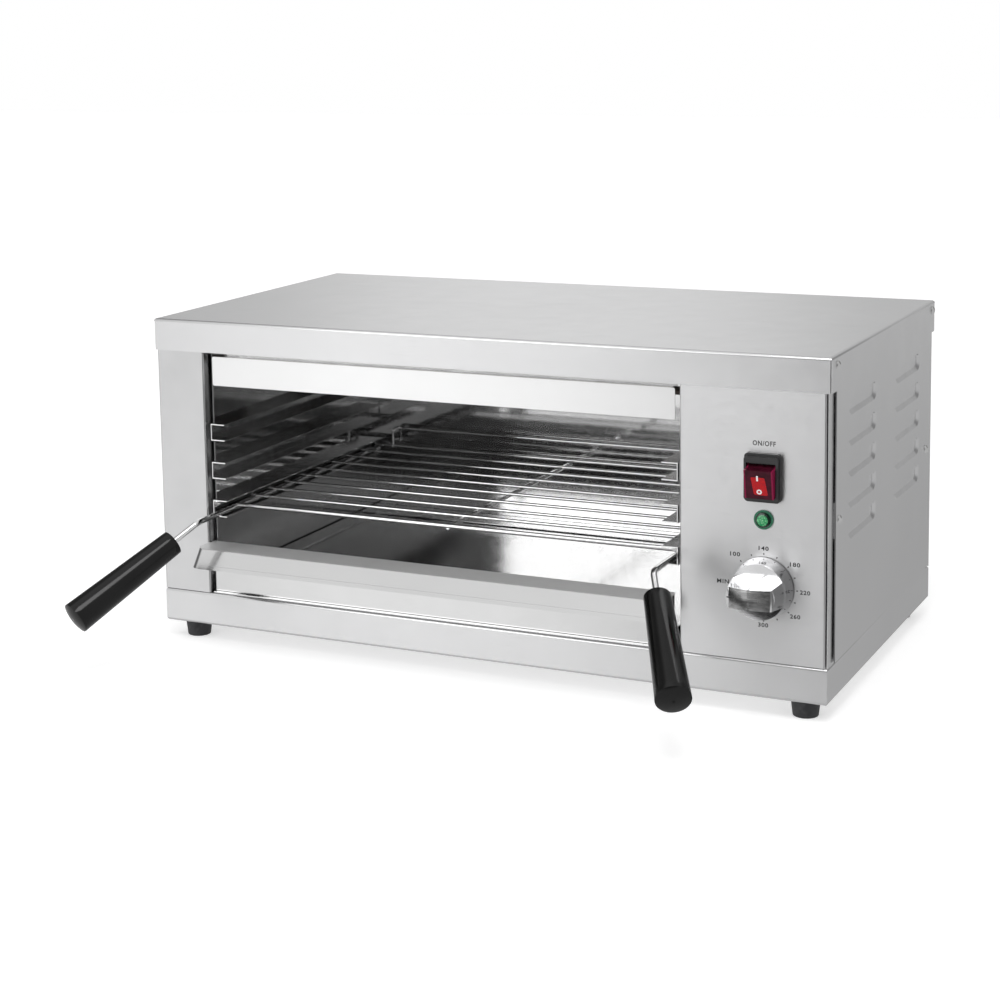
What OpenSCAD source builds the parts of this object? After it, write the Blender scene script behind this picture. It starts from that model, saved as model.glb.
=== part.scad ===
// Electric cheese melter: an open-fronted stainless cabinet with overhead
// heating elements, a slide-in wire rack with two angled handles, a crumb
// tray and a control column on the right.
//
// Cabinet coordinates: x from the left side of the front frame, y from the
// front face towards the back, z from the underside of the base pan.
// in_frame() moves them to the part's own frame, whose origin lies on the
// standing surface under the middle of the part's bounding box.

/* [Cabinet] */
// Width of the base and front frame
cabinet_w = 610; // [560:1:700]
// Depth of the cabinet
cabinet_d = 330; // [320:1:420]
// Height of the cabinet without its feet
cabinet_h = 275; // [265:1:340]
// Thickness of the sheet steel
sheet = 1; // [0.8:0.1:1.5]
// Height of the base band below the opening
base_h = 30; // [24:1:40]
// Height of the casing's front and rear skirts
skirt_h = 28; // [20:1:34]
// Overhang of the casing on each side
side_overhang = 2; // [1.5:0.1:3]
// Outer radius of the folded edges
bend_r = 2.5; // [1.5:0.1:3]

/* [Opening] */
// Width of the post on the left of the opening
post_w = 47.5; // [40:0.5:60]
// Width of the control column on the right
control_w = 120.7; // [110:0.1:140]
// Depth of the folded flanges on the front frame
flange_d = 13; // [10:0.5:18]
// Height of the heat shield across the top of the opening
shield_h = 25.7; // [20:0.1:32]

/* [Rack] */
// Number of rack positions on each side
guide_count = 3; // [1:1:4]
// Height from one rack position to the next
guide_pitch = 34.3; // [30:0.1:45]
// Height of the lowest guide above the base pan's underside
guide_low_z = 99; // [80:0.5:110]
// Outer height of one guide channel
guide_h = 15; // [12:0.5:20]
// Width of a guide's two lips
guide_w = 14; // [10:0.5:18]
// Diameter of the rack's side rods and handle rods
side_rod_d = 5; // [4:0.1:6]
// Diameter of the rack's front rod
front_rod_d = 4; // [3:0.1:5]
// Diameter of the rack's cross rods
cross_rod_d = 3; // [2.5:0.1:4]
// Number of cross rods behind the front rod
cross_rod_count = 9; // [5:1:12]
// Distance from one cross rod to the next
cross_rod_pitch = 30; // [24:0.5:34]

/* [Handles] */
// Turn of the handle rods away from straight ahead
handle_turn = 38; // [30:1:45]
// Angle below the horizontal of the plane in which the handle rods bend
handle_roll = 48.6; // [40:0.1:60]
// Bare rod between the bend and the grip
handle_stub = 25; // [18:0.5:30]
// Length of a grip
grip_l = 109.5; // [90:0.5:125]
// Diameter of a grip where the rod enters
grip_d1 = 22; // [16:0.5:24]
// Diameter of a grip at its free end
grip_d2 = 28; // [20:0.5:30]

/* [Crumb tray] */
// Width of the tray's front panel
tray_front_w = 433; // [420:1:434]
// Height of the tray's front panel
tray_front_h = 45; // [40:0.5:50]
// Width of the pull lip
lip_w = 437; // [430:0.5:438]
// Reach of the pull lip in front of the cabinet
lip_reach = 34; // [25:0.5:36]
// Height of the pull lip
lip_h = 15; // [12:0.5:20]

/* [Controls] */
// Height of the dial's centre
dial_z = 90; // [80:0.5:100]
// Height of the indicator lamp's centre
lamp_z = 144.5; // [138:0.5:148]
// Height of the switch's centre
switch_z = 178.3; // [170:0.1:190]
// Diameter of the knob at the panel
knob_d = 49; // [44:0.5:50]
// Depth of the knob from the panel to the middle of its face
knob_depth = 39.5; // [34:0.5:44]
// Tilt of the switch rocker either side of level
rocker_tilt = 10; // [8:1:12]
// Diameter of the indicator lamp's flange
lamp_d = 15.6; // [12:0.1:18]

/* [Louvres] */
// Number of louvres in one column
louvre_rows = 5; // [2:1:6]
// Length of one louvre
louvre_l = 86; // [60:1:95]
// Height of one louvre from its lower edge to its mouth
louvre_h = 14.5; // [12:0.5:17]
// Distance from one louvre to the one above
louvre_pitch = 25; // [20:0.5:30]
// How far a louvre is pressed into the panel
louvre_depth = 2.2; // [1.8:0.1:2.6]

/* [Feet] */
// Height of a rubber foot
foot_h = 15; // [10:0.5:25]
// Diameter of a foot at the base pan
foot_d1 = 24; // [18:0.5:30]
// Diameter of a foot at the floor
foot_d2 = 20.5; // [16:0.5:26]

/* [Hidden] */
$fn = 48;
eps = 0.01;
over = 1;           // how far a cutter runs past the face it cuts
slip = 0.3;         // clearance between pieces that slide past each other
run = 0.05;         // radial clearance of a shaft in its bearing

// --- Colours
steel = "#c9c8c5";
bright_steel = "#e3e2e1";
dark_steel = "#8c8c8c";
chrome = "#dcdcde";
black = "#1c1b1b";
rubber_black = "#39393c";
red_lens = "#a80f24";
green_lens = "#1e9c52";
brass_yellow = "#b9974c";
ceramic_white = "#ece8dc";
wool_yellow = "#d8cfa4";
copper = "#b87a4a";
wire_red = "#8a3a2c";
element_grey = "#4b4946";

// --- Cabinet levels
opening_x0 = post_w;
opening_x1 = cabinet_w - control_w;
opening_mid = (opening_x0 + opening_x1) / 2;
skirt_z = cabinet_h - skirt_h;
frame_top_z = cabinet_h - 2 * sheet;
deck_z = base_h + sheet;
wall_inset = 3;
cavity_x0 = opening_x0 + wall_inset;
cavity_x1 = opening_x1 - wall_inset;
wall_y0 = 10;       // front edge of the cavity's walls
cavity_back_y = cabinet_d - 20;
ceiling_z = cabinet_h - 30;
fit_gap = 1;        // room round the cavity's floor, thermostat and wire holes
blanket_gap = 3;    // room in front of and behind the insulation
blanket_r = 6;
panel_gap = 1.5;    // slot between the casing's lower edge and the base pan
corner_slit = 1.2;  // open corner where a skirt meets a side of the casing
rear_strip = 22;    // strip of a rear post that the casing's side leaves bare
edge_gap = 0.5;     // gap between the casing and the frame in front of and behind it
seam = 1;           // gap between the control panel and the post beside it
post_d = 30;        // depth of a front post's side leg
post_y0 = 0.6;      // front edge of the right front post
post_return = 12;
rear_post_d = 36;
pad_reach = side_overhang - sheet;
pad_w = 14;         // screw pads between the posts and the casing
pad_h = 28;
top_pad_z = cabinet_h - 26;
top_pad_h = 22;
control_mid = cabinet_w - 51.5;

// --- Base pan
pan_lip = 32;
foot_x = 22.5;
foot_y = 18;
foot_screw_r = 2;
foot_screw_clear = 0.2;
foot_hollow = 5;    // depth of the hollow that holds the foot screw's head
foot_hollow_r = 5;
foot_head_r = 4;
foot_head_h = 2;
foot_nut_h = 2.4;
foot_screw_past = 4;

// --- Casing screws
screw_r = 1.95;
screw_hole_r = 2.2;
screw_head_r = 4;
screw_head_h = 2.5;
screw_l = 9;
top_screw_z = cabinet_h - 8;
mid_screw_z = 144.5;
front_screw_y = 22.7;
rear_screw_y = cabinet_d - 27;
top_front_screw_y = 16;
top_rear_screw_y = cabinet_d - 8;
front_screws = [[top_front_screw_y, top_screw_z], [front_screw_y, mid_screw_z]];
rear_screws = [[top_rear_screw_y, top_screw_z], [rear_screw_y, mid_screw_z]];

// --- Louvres
louvre_low_z = 121; // lower edge of the lowest louvre
louvre_r = 9;       // radius of the outline's round ends
louvre_run = 3.5;   // width of the sloping wall round the pressed floor
louvre_lip = 1.5;   // drop from the cut edge of the panel to the pressed lip
louvre_columns = [46, 192];
louvre_slope = louvre_run / louvre_depth;

// --- Heating
element_d = 7;
element_z = 228;
element_leg_gap = 60;
element_y = [100, 215];
element_x0 = cavity_x0 + 20;
element_out = 14;   // how far the cold ends stand out of the cavity's wall
bracket_x = [170, 368];
bracket_t = 1.2;
bracket_drop = 27;
bracket_foot = 12;
bracket_past = 12;  // how far a bracket runs past the outer legs
terminal_l = 12;
terminal_collar_l = 5;
terminal_collar_d = element_d + 3;
terminal_pin_d = 4;
bulb_d = 6;
bulb_x = cavity_x1 - 9;
bulb_y0 = 120;
bulb_y1 = 200;
bulb_z = ceiling_z - 6;
bulb_exit_y = bulb_y1 + 16;
capillary_d = 2;
clip_w = 8;
clip_t = 1.5;

// --- Heat shield
shield_x0 = opening_x0 + 5.8;
shield_x1 = opening_x1 - 5.8;
shield_y = 5.5;
shield_z = skirt_z - shield_h - 4.3;
shield_return = 8;
shield_depth = 15;
shield_inset = 3;
shield_r = 1.5;

// --- Rack
rod_r = side_rod_d / 2;
rack_z = guide_low_z + sheet + slip + rod_r;
rack_x = 7.5;                    // rod centre from the cavity's wall
rack_front_y = 30;
rack_back_y = 303;
weld = 0.4;                      // how deep welded rods sink into each other
front_rod_rise = 2.2;            // front rod's centre above the side rods' centres
front_rod_z = rack_z + front_rod_rise;
cross_rod_z = rack_z + rod_r + cross_rod_d / 2 - weld;
cross_rod_y0 = 62;
centre_rod_z = cross_rod_z - cross_rod_d / 2 - front_rod_d / 2 + weld;
backstop_z = 125;
backstop_half = 193;
backstop_bend = 6;
backstop_lead = 5;                // straight part of a post before its bend
backstop_y = cross_rod_y0 + (cross_rod_count - 1) * cross_rod_pitch;
handle_bend_r = 14;
bend_swell = 0.02;
bend_sink = 0.4;
handle_run = 57;                 // straight rod in front of the front rod
rod_in_grip = 60;
rod_l = rack_back_y - rack_front_y + handle_run;
grip_dome = 2.5;                 // rise of a grip's round end
guide_y0 = 4;
guide_y1 = 300;

// --- Crumb tray
tray_z = deck_z + slip;
tray_left = 2.2;                 // how far the tray stands left of the opening's middle
tray_mid = opening_mid - tray_left;
tray_y0 = 5.5;
tray_wall_h = 12;
tray_pan_w = 428;
tray_back_y = cavity_back_y - 2 * slip;
lip_top_z = tray_z + tray_front_h;
lip_low_z = lip_top_z - lip_h;
lip_lean = 37.5;                 // angle of the lip's face from upright
lip_nose_r = 3;
lip_corner_r = 8;
lip_back_y = -slip;              // the lip's ends pass in front of the posts
lip_crease = 0.05;               // how far a corner's round would pass the lip's face
hem_end = 1.5;                   // how far the hem ends short of the corners
hem_h = 3;                       // folded hem along the lip's lower edge
hem_t = 0.6;

// --- Knob
knob_gap = 1.2;
shaft_r = 3;
knob_shoulder_d = 44.4;          // diameter where the skirt ends
knob_skirt = 16;
knob_bar_d = 37.4;
knob_bar_root = 20;              // thickness of the grip bar at the skirt
knob_bar_tip = 16;
knob_face_r = 46;
shaft_back_y = 16;

// --- Thermostat
stat_w = 38;
stat_h = 44;
stat_d = 28;
stat_y = sheet + fit_gap;
stat_back = stat_y + stat_d;
bush_r = 5;
stat_screw_x = 14;
stat_screw_r = 2;
stat_screw_sink = 8;
shaft_in_knob = 6;

// --- Switch
switch_w = 29;
switch_h = 38.5;
plinth_d = 5;
plinth_r = 3;
collar_w = 27.4;
collar_h = 34;
collar_d = 9;
collar_r = 2;
switch_body_inset = 0.2;
rocker_w = 23;
rocker_half = 11.5;              // half the height of the rocker's cap
rocker_reach = 13.5;             // pivot to the rocker's face
rocker_cap = 6;                  // thickness of the cap
rocker_root_r = 12.5;            // round root that turns in the housing
pivot_y = -1;
pivot_z = switch_z - 1.2;
rocker_gap = 0.4;
cap_room = 13.7;                 // half the height of the pocket round the cap
cap_room_y = pivot_y - 4;
pivot_pin_r = 1.5;
pivot_pin_l = 1.2;
switch_body_d = 24;
blade_w = 6.3;
blade_t = 0.8;
blade_l = 9;
blade_x = 7;
blade_z = 9;
blade_y = switch_body_d + 7;

// --- Lamp
lamp_flange = 1.5;
lamp_lens_d = 11.6;
lamp_lens_h = 3.5;
lamp_dome_r = 18;
lamp_body_r = 4.8;
lamp_body_l = 24;
lamp_nut_t = 3;
lamp_pin = [0.8, 8, 2.8];
lamp_pin_x = 2.5;

// --- Rear services
gland_x = cabinet_w - 50;
gland_z = 70;
gland_bore_r = 4.2;
gland_thread_r = 8;
gland_hex_r = 12;
gland_cap_r = 10;
gland_hex_t = 6;
gland_nut_t = 5;
gland_out = 20;
gland_in = 12;
block_x = gland_x - 18;
block_y = cabinet_d - 62;
block_size = [44, 22, 18];
block_pitch = 14;
block_hole_r = 3;
block_hole_z = deck_z + 8;
block_top = deck_z + 14;         // where the wires end in the block's holes
stud_x = gland_x + 30;
stud_d = 5;
stud_nut_r = 4.6;
stud_nut_t = 4;
stud_in = 14;
rear_slot_l = 34;
rear_slot_r = 2;
rear_slot_x = [opening_x1 + 18, opening_x1 + 66];
rear_slot_low_z = 150;
rear_slot_pitch = 20;
rear_slot_count = 5;
rear_screw_x = [30, 220, 410, cabinet_w - 30];
rear_screw_z = base_h + 10;

// --- Wire routes between the terminal block, switch, thermostat, lamp and elements
wire_d = 3;
tip_x = cavity_x1 + element_out + terminal_l;
tip_in = 2;
low_leg = [element_y[0] - element_leg_gap / 2, element_y[1] - element_leg_gap / 2];
high_leg = [element_y[0] + element_leg_gap / 2, element_y[1] + element_leg_gap / 2];
wire_routes = [
    [[block_x + 8, block_y + 11, block_top], [block_x + 6, block_y + 2, block_top + 22],
        [580, 180, 120], [control_mid - blade_x, blade_y + 30, switch_z - 20],
        [control_mid - blade_x, blade_y, switch_z - blade_z]],
    [[block_x + 22, block_y + 11, block_top], [block_x + 20, block_y + 2, block_top + 26],
        [590, 190, 130], [control_mid + 10, blade_y + 30, switch_z - 16],
        [control_mid + blade_x, blade_y, switch_z - blade_z]],
    [[control_mid - blade_x, blade_y, switch_z + blade_z],
        [control_mid - 9, blade_y + 22, switch_z], [control_mid + 10, 70, 130],
        [control_mid + 10, stat_back + 18, dial_z + 14],
        [control_mid + 10, stat_back - 1, dial_z + 12]],
    [[control_mid + 10, stat_back - 1, dial_z - 12], [control_mid + 12, 70, dial_z - 8],
        [540, 100, 180], [tip_x + 16, 80, element_z - 6],
        [tip_x - tip_in, low_leg[0], element_z]],
    [[tip_x - tip_in, high_leg[0], element_z], [tip_x + 10, 155, element_z - 14],
        [tip_x - tip_in, low_leg[1], element_z]],
    [[tip_x - tip_in, high_leg[1], element_z], [tip_x + 18, 240, element_z - 16],
        [tip_x + 50, 200, 200], [control_mid + 16, blade_y + 24, switch_z + 14],
        [control_mid + blade_x, blade_y, switch_z + blade_z]],
    [[block_x + 36, block_y + 11, block_top], [block_x + 38, block_y + 4, block_top + 16],
        [stud_x - 4, cabinet_d - 30, gland_z - 4], [stud_x, cabinet_d - 12, gland_z]]
];
capillary_route = [
    [bulb_x, bulb_y1, bulb_z], [bulb_x, bulb_y1 + 8, bulb_z],
    [bulb_x + 4, bulb_y1 + 15, bulb_z], [cavity_x1 + 8, bulb_exit_y, bulb_z],
    [cavity_x1 + 20, bulb_y1 + 10, bulb_z - 20], [cavity_x1 + 24, bulb_y1 - 60, bulb_z - 70],
    [cavity_x1 + 34, 90, 112], [control_mid - 12, 50, 96], [control_mid - 12, stat_back, 94]
];

// --- Extents, for the part's origin
grip_rim = handle_stub + grip_l - grip_dome;
turn_x = sin(handle_turn) * cos(handle_roll);
turn_y = cos(handle_turn);
bend_side = handle_bend_r * (1 - cos(handle_turn)) * cos(handle_roll);
bend_ahead = handle_bend_r * sin(handle_turn);
rod_x0 = cavity_x0 + rack_x;
rack_w = 2 * (opening_mid - rod_x0);
grip_reach_x = rod_x0 - bend_side - grip_rim * turn_x - grip_d2 / 2 * sqrt(1 - pow(turn_x, 2));
grip_reach_y = rack_front_y - handle_run - bend_ahead - grip_rim * turn_y
    - grip_d2 / 2 * sqrt(1 - pow(turn_y, 2));
origin_x = (grip_reach_x + cabinet_w + side_overhang + screw_head_h) / 2;
origin_y = (grip_reach_y + cabinet_d + gland_out) / 2;

// ---------------------------------------------------------------- helpers

// Moves cabinet coordinates into the part's own frame
module in_frame() {
    translate([-origin_x, -origin_y, foot_h]) children();
}

// A box between two opposite corners
module block(lo, hi) {
    translate(lo) cube(hi - lo);
}

// A rectangle from the origin with four round corners
module round_rect(w, h, r) {
    difference() {
        square([w, h]);
        for (sx = [0, 1], sy = [0, 1])
            translate([sx * w, sy * h]) mirror([sx, 0]) mirror([0, sy])
                difference() {
                    translate([-over, -over]) square(r + over);
                    translate([r, r]) circle(r);
                }
    }
}

// A box whose horizontal edges are folded to a radius, from the origin
module folded_box(size, r) {
    intersection() {
        translate([0, size.y, 0]) rotate([90, 0, 0])
            linear_extrude(size.y) round_rect(size.x, size.z, r);
        rotate([90, 0, 90]) linear_extrude(size.x) round_rect(size.y, size.z, r);
    }
}

// A box whose upright edges are folded to a radius, from the origin
module upright_box(size, r) {
    linear_extrude(size.z) round_rect(size.x, size.y, r);
}

// Cylinders that point along +X or +Y from a place
module rod_x(at, d, l) {
    translate(at) rotate([0, 90, 0]) cylinder(d = d, h = l);
}
module rod_y(at, d, l) {
    translate(at) rotate([-90, 0, 0]) cylinder(d = d, h = l);
}

// Copies its children on both sides of the middle of the opening
module both_sides() {
    children();
    translate([2 * opening_mid, 0, 0]) mirror([1, 0, 0]) children();
}

// A rod that comes along -Y to the origin, turns there towards +X and runs on.
// The bend swells a hair, so that both straight lengths end inside it.
module bent_rod(d, straight, bend, turn, tail) {
    rod_y([0, -bend_sink, 0], d, straight + bend_sink);
    translate([bend, 0, 0]) rotate([0, 0, 180])
        rotate_extrude(angle = turn) translate([bend, 0]) circle(d = d + 2 * bend_swell);
    after_bend(bend, turn) translate([0, bend_sink, 0])
        rotate([90, 0, 0]) cylinder(d = d, h = tail + bend_sink);
}

// Places its children where a bent rod's tail begins, with -Y along the tail
module after_bend(bend, turn) {
    translate([bend, 0, 0]) rotate([0, 0, turn]) translate([-bend, 0, 0]) children();
}

// A smooth curve through a list of points, as a list of points
function curve_at(p, i, t) =
    let (n = len(p) - 1, a = p[max(i - 1, 0)], b = p[i], c = p[min(i + 1, n)],
         e = p[min(i + 2, n)])
    0.5 * (2 * b + (c - a) * t + (2 * a - 5 * b + 4 * c - e) * t * t
        + (3 * b - a - 3 * c + e) * t * t * t);
function curve_through(p, steps) = concat(
    [for (i = [0 : len(p) - 2], s = [0 : steps - 1]) curve_at(p, i, s / steps)],
    [p[len(p) - 1]]);
function unit(v) = v / norm(v);

// A tube of wire diameter d along a smooth curve through the points of a route
wire_sides = 8;
wire_ref = unit([0.42, 0.53, 0.74]);
module wire(route, d, steps = 4) {
    path = curve_through(route, steps);
    last = len(path) - 1;
    rings = [for (i = [0 : last])
        let (t = unit(path[min(i + 1, last)] - path[max(i - 1, 0)]),
             u = unit(cross(t, wire_ref)), v = cross(t, u))
        for (k = [0 : wire_sides - 1])
            path[i] + d / 2 * (u * cos(k * 360 / wire_sides) + v * sin(k * 360 / wire_sides))];
    walls = [for (i = [0 : last - 1], k = [0 : wire_sides - 1])
        let (n = (k + 1) % wire_sides, a = i * wire_sides, b = a + wire_sides)
        for (f = [[a + k, a + n, b + n], [a + k, b + n, b + k]]) f];
    foot_face = [[for (k = [wire_sides - 1 : -1 : 0]) k]];
    head_face = [[for (k = [0 : wire_sides - 1]) last * wire_sides + k]];
    polyhedron(rings, concat(walls, foot_face, head_face));
}

// Points of an arc about a centre, from angle a0 to a1
arc_steps = 8;
function arc(c, r, a0, a1) =
    [for (i = [0 : arc_steps]) let (a = a0 + (a1 - a0) * i / arc_steps)
        c + r * [cos(a), sin(a)]];

// ---------------------------------------------------------------- cabinet

module foot_places() {
    for (x = [foot_x, cabinet_w - foot_x], y = [foot_y, cabinet_d - foot_y])
        translate([x, y, 0]) children();
}

module base_pan() {
    t = sheet;
    color(bright_steel) in_frame() difference() {
        folded_box([cabinet_w, cabinet_d, base_h], bend_r);
        translate([t, t, t])
            folded_box([cabinet_w, cabinet_d, base_h] - 2 * [t, t, t], bend_r - t);
        block([pan_lip, pan_lip, base_h / 2],
            [cabinet_w - pan_lip, cabinet_d - pan_lip, base_h + over]);
        foot_places() translate([0, 0, -over])
            cylinder(r = foot_screw_r + foot_screw_clear, h = t + 2 * over);
    }
}

module cavity_floor() {
    color(steel) in_frame() difference() {
        block([cavity_x0 - sheet, sheet + fit_gap, base_h],
            [cabinet_w - 2 * sheet, cabinet_d - 2 * sheet, deck_z]);
        block([opening_x1 - fit_gap, 0, base_h - over],
            [cabinet_w, flange_d + fit_gap, deck_z + over]);
    }
}

module cavity_left_wall() {
    color(steel) in_frame()
        block([cavity_x0 - sheet, wall_y0, deck_z], [cavity_x0, cavity_back_y, ceiling_z]);
}

module cavity_right_wall() {
    color(steel) in_frame() difference() {
        block([cavity_x1, wall_y0, deck_z], [cavity_x1 + sheet, cavity_back_y, ceiling_z]);
        for (y = element_y, s = [-1, 1])
            rod_x([cavity_x1 - over, y + s * element_leg_gap / 2, element_z],
                element_d + 2 * slip, sheet + 2 * over);
        rod_x([cavity_x1 - over, bulb_exit_y, bulb_z], bulb_d, sheet + 2 * over);
    }
}

module cavity_back_wall() {
    color(steel) in_frame()
        block([cavity_x0 - sheet, cavity_back_y, deck_z],
            [cavity_x1 + sheet, cavity_back_y + sheet, ceiling_z]);
}

module cavity_ceiling() {
    color(steel) in_frame()
        block([cavity_x0 - sheet, flange_d + sheet, ceiling_z],
            [cavity_x1 + sheet, cavity_back_y + sheet, ceiling_z + sheet]);
}

module insulation_blanket() {
    color(wool_yellow) in_frame()
        translate([cavity_x0, flange_d + sheet + blanket_gap, ceiling_z + sheet])
            upright_box([cavity_x1 - cavity_x0, cavity_back_y - flange_d - 2 * blanket_gap,
                frame_top_z - ceiling_z - 2 * sheet], blanket_r);
}

// A folded upright of the front frame, with flanges on both sides
module front_channel(x0, w) {
    difference() {
        translate([x0, 0, base_h])
            upright_box([w, 2 * flange_d, frame_top_z - base_h], bend_r - sheet);
        translate([x0 + sheet, sheet, base_h - over])
            upright_box([w - 2 * sheet, 2 * flange_d, frame_top_z - base_h + 2 * over],
                bend_r - 2 * sheet);
        block([x0 - over, flange_d, base_h - over],
            [x0 + w + over, 2 * flange_d + over, frame_top_z + over]);
    }
}

// Screw pads on a front post's outer face, which the casing's side lies against
module front_pads() {
    block([-pad_reach, flange_d + 2 * edge_gap, mid_screw_z - pad_h / 2],
        [eps, post_d, mid_screw_z + pad_h / 2]);
    block([-pad_reach, top_front_screw_y - pad_w / 2, top_pad_z],
        [eps, top_front_screw_y + pad_w / 2, top_pad_z + top_pad_h]);
}

// The same at the back
module rear_pads() {
    y1 = cabinet_d - rear_strip;
    block([-pad_reach, y1 - pad_w, mid_screw_z - pad_h / 2], [eps, y1, mid_screw_z + pad_h / 2]);
    block([-pad_reach, cabinet_d - pad_w, top_pad_z],
        [eps, cabinet_d - sheet, top_pad_z + top_pad_h]);
}

// Threaded holes for the casing's screws, on the left side
module screw_threads(places) {
    for (p = places)
        rod_x([-side_overhang - over, p[0], p[1]], 2 * screw_r + run,
            side_overhang + sheet + 2 * over);
}

module left_front_post() {
    color(bright_steel) in_frame() difference() {
        union() {
            front_channel(0, post_w);
            block([0, flange_d - eps, base_h], [sheet, post_d, frame_top_z]);
            front_pads();
        }
        screw_threads(front_screws);
    }
}

module right_front_post() {
    color(bright_steel) in_frame() translate([cabinet_w, 0, 0]) mirror([1, 0, 0])
        difference() {
            union() {
                block([0, post_y0, base_h], [sheet, post_d, frame_top_z]);
                block([0, post_d - sheet, deck_z], [post_return, post_d, frame_top_z]);
                front_pads();
            }
            screw_threads(front_screws);
        }
}

module control_panel() {
    color(bright_steel) in_frame() difference() {
        front_channel(opening_x1, control_w - sheet - seam);
        rod_y([control_mid, -over, dial_z], 2 * (bush_r + run), sheet + 2 * over);
        rod_y([control_mid, -over, lamp_z], 2 * (lamp_body_r + run), sheet + 2 * over);
        for (s = [-1, 1])
            rod_y([control_mid + s * stat_screw_x, -over, dial_z], 2 * (stat_screw_r + run),
                sheet + 2 * over);
        block([control_mid - collar_w / 2, -over, switch_z - collar_h / 2],
            [control_mid + collar_w / 2, sheet + over, switch_z + collar_h / 2]);
    }
}

// A louvre's pressed hollow between two depths, a straight trough between two
// half cones: x into the cabinet is negative, and grow moves the walls apart
module louvre_dish(x0, x1, grow) {
    r0 = louvre_r + grow + x0 * louvre_slope;
    r1 = louvre_r + grow + x1 * louvre_slope;
    straight = louvre_l - 2 * louvre_r;
    translate([0, louvre_r, louvre_r]) {
        rotate([-90, 0, 0]) mirror([0, 1, 0]) linear_extrude(straight)
            polygon([[x0, -r0], [x0, r0], [x1, r1], [x1, -r1]]);
        for (s = [0, 1])
            translate([0, s * straight, 0]) mirror([0, 1 - s, 0]) rotate([0, 90, 0])
                rotate_extrude(angle = 180) polygon([[0, x0], [r0, x0], [r1, x1], [0, x1]]);
    }
}

// The same below a height above the louvre's lower edge
module louvre_scoop(x0, x1, grow, top) {
    intersection() {
        louvre_dish(x0, x1, grow);
        block([x1 - over, -louvre_r, -louvre_r], [x0 + over, louvre_l + louvre_r, top]);
    }
}

module louvre_places() {
    for (y = louvre_columns, i = [0 : louvre_rows - 1])
        translate([cabinet_w + side_overhang, y, louvre_low_z + i * louvre_pitch]) children();
}

module casing_shell() {
    o = side_overhang;
    t = sheet;
    w = cabinet_w + 2 * o;
    d = cabinet_d + t + edge_gap + t;
    low = -2 * bend_r;
    difference() {
        translate([-o, -t, low]) folded_box([w, d, cabinet_h - low], bend_r);
        translate([t - o, 0, low - over])
            folded_box([w - 2 * t, d - 2 * t, cabinet_h - low + over - t], bend_r - t);
        block([-o - over, -over - t, low - over],
            [w + over, d + over, base_h + panel_gap]);
        block([-o - over, -over - t, low], [w + over, flange_d + edge_gap, skirt_z]);
        block([-o - over, cabinet_d - rear_strip, low], [w + over, d + over, skirt_z]);
        for (x = [-o - over, cabinet_w + o - corner_slit],
                y = [-t - over, d - t - corner_slit])
            block([x, y, low],
                [x + corner_slit + over, y + corner_slit + over, cabinet_h - bend_r]);
    }
}

module casing_screw_places() {
    for (p = concat(front_screws, rear_screws)) {
        translate([cabinet_w + side_overhang, p[0], p[1]]) rotate([0, 90, 0]) children();
        translate([-side_overhang, p[0], p[1]]) rotate([0, -90, 0]) children();
    }
}

module outer_casing() {
    color(steel) in_frame() difference() {
        union() {
            casing_shell();
            louvre_places() louvre_scoop(-sheet / 2, -louvre_depth - sheet,
                sheet * sqrt(1 + pow(louvre_slope, 2)), louvre_h - louvre_lip);
        }
        louvre_places() louvre_scoop(over, -louvre_depth, 0, louvre_h);
        casing_screw_places() translate([0, 0, -sheet - over])
            cylinder(r = screw_hole_r, h = sheet + 2 * over);
    }
}

module rear_slots() {
    for (i = [0 : rear_slot_count - 1], x = rear_slot_x)
        translate([x, cabinet_d, rear_slot_low_z + i * rear_slot_pitch]) rotate([90, 0, 0])
            translate([0, 0, -over]) linear_extrude(sheet + 2 * over)
                round_rect(rear_slot_l, 2 * rear_slot_r, rear_slot_r - eps);
}

module rear_screw_places() {
    for (x = rear_screw_x)
        translate([x, cabinet_d, rear_screw_z]) rotate([-90, 0, 0]) children();
}

module rear_panel() {
    color(steel) in_frame() difference() {
        block([0, cabinet_d - sheet, base_h], [cabinet_w, cabinet_d, frame_top_z]);
        rear_slots();
        rod_y([gland_x, cabinet_d - sheet - over, gland_z], 2 * (gland_thread_r + run),
            sheet + 2 * over);
        rod_y([stud_x, cabinet_d - sheet - over, gland_z], stud_d + 2 * run, sheet + 2 * over);
        rear_screw_places() translate([0, 0, -sheet - over])
            cylinder(r = screw_hole_r, h = sheet + 2 * over);
    }
}

// An angle at the left rear corner; its twin is at the right
module rear_post() {
    y1 = cabinet_d - sheet;
    difference() {
        union() {
            block([0, cabinet_d - rear_post_d, deck_z], [sheet, y1, frame_top_z]);
            block([0, y1 - sheet, deck_z], [post_return, y1, frame_top_z]);
            rear_pads();
        }
        screw_threads(rear_screws);
    }
}

module rear_posts() {
    color(steel) in_frame() {
        rear_post();
        translate([cabinet_w, 0, 0]) mirror([1, 0, 0]) rear_post();
    }
}

module heat_shield() {
    x0 = shield_x0 + shield_inset;
    x1 = shield_x1 - shield_inset;
    y1 = shield_y + sheet;
    z1 = shield_z + shield_h;
    color(bright_steel) in_frame() {
        translate([shield_x0, y1, shield_z]) rotate([90, 0, 0])
            linear_extrude(sheet) round_rect(shield_x1 - shield_x0, shield_h, shield_r);
        block([x0, y1 - eps, shield_z], [x1, y1 + shield_return, shield_z + sheet]);
        block([x0, y1 - eps, z1 - sheet], [x1, y1 + shield_depth, z1]);
        block([x0, y1 + shield_depth - sheet, z1 - sheet], [x1, y1 + shield_depth, ceiling_z]);
    }
}

// ---------------------------------------------------------------- guides

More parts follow.
